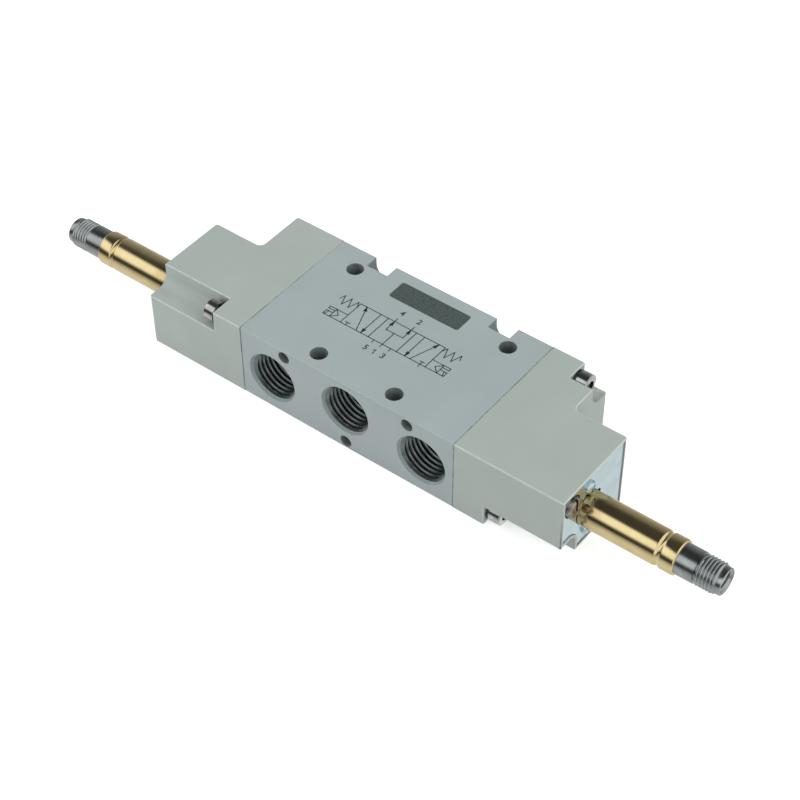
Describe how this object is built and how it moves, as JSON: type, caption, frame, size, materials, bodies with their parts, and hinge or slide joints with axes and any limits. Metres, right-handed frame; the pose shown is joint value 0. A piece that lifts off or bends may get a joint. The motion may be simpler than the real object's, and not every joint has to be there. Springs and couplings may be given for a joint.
{
  "type": "pneumatic solenoid valve",
  "caption": "Five-port spool valve body with stepped plastic end caps, a brass armature tube with threaded core at each end, and slotted manual overrides.",
  "frame": {"origin": "middle of the underside, below the middle port", "axes": "+X along the spool towards the right-hand end cap, -Y out of the three-port face, +Z out of the printed face"},
  "size_m": [0.196, 0.0402, 0.0213],
  "materials": {
    "painted_aluminium": "satin blue-grey paint",
    "moulded_polymer": "fine moulded texture",
    "brass": "turned and polished",
    "spacer_brass": "turned",
    "steel_core": "turned, dark",
    "nickel_steel": "nickel plated",
    "zinc_steel": "clear zinc plated",
    "spring_steel": "drawn wire",
    "turned_aluminium": "hard anodised, ground",
    "nitrile": "matt black"
  },
  "bodies": {
    "housing": {"valve_body": "painted_aluminium", "spool_seals": "nitrile", "seal_spacers": "spacer_brass", "right_seal_retainer": "spacer_brass", "right_end_cap": "moulded_polymer", "right_cap_screws": "nickel_steel", "right_cap_gasket": "nitrile", "right_centring_spring": "spring_steel", "right_pilot_plate": "zinc_steel", "right_plate_screws": "zinc_steel", "right_armature_tube": "brass", "right_tube_seal": "nitrile", "right_fixed_core": "steel_core", "right_armature_spring": "spring_steel", "right_pilot_nozzle": "brass", "left_seal_retainer": "spacer_brass", "left_end_cap": "moulded_polymer", "left_cap_screws": "nickel_steel", "left_cap_gasket": "nitrile", "left_centring_spring": "spring_steel", "left_pilot_plate": "zinc_steel", "left_plate_screws": "zinc_steel", "left_armature_tube": "brass", "left_tube_seal": "nitrile", "left_fixed_core": "steel_core", "left_armature_spring": "spring_steel", "left_pilot_nozzle": "brass"},
    "spool_set": {"spool": "turned_aluminium", "right_piston": "turned_aluminium", "left_piston": "turned_aluminium", "right_piston_seal": "nitrile", "left_piston_seal": "nitrile"},
    "right_armature_set": {"right_armature": "steel_core", "right_armature_rubbers": "nitrile"},
    "right_override_set": {"right_manual_override": "nickel_steel", "right_override_seal": "nitrile"},
    "left_armature_set": {"left_armature": "steel_core", "left_armature_rubbers": "nitrile"},
    "left_override_set": {"left_manual_override": "nickel_steel", "left_override_seal": "nitrile"}
  },
  "joints": [
    {"name": "spool_shift", "type": "slide", "parent": "housing", "child": "spool_set", "axis": [1, 0, 0], "range_m": [-0.004, 0.004], "stiffness_N_per_m": 1600, "deforming": ["right_centring_spring", "left_centring_spring"]},
    {"name": "right_armature_lift", "type": "slide", "parent": "housing", "child": "right_armature_set", "axis": [1, 0, 0], "range_m": [0, 0.0008], "stiffness_N_per_m": 500, "springref_m": -0.002, "deforming": ["right_armature_spring"]},
    {"name": "right_override_turn", "type": "hinge", "parent": "housing", "child": "right_override_set", "pos_m": [0.0608, -0.0158, 0.0167], "axis": [1, 0, 0], "range_deg": [0, 90]},
    {"name": "left_armature_lift", "type": "slide", "parent": "housing", "child": "left_armature_set", "axis": [-1, 0, 0], "range_m": [0, 0.0008], "stiffness_N_per_m": 500, "springref_m": -0.002, "deforming": ["left_armature_spring"]},
    {"name": "left_override_turn", "type": "hinge", "parent": "housing", "child": "left_override_set", "pos_m": [-0.0608, -0.0158, 0.0046], "axis": [-1, 0, 0], "range_deg": [0, 90]}
  ]
}
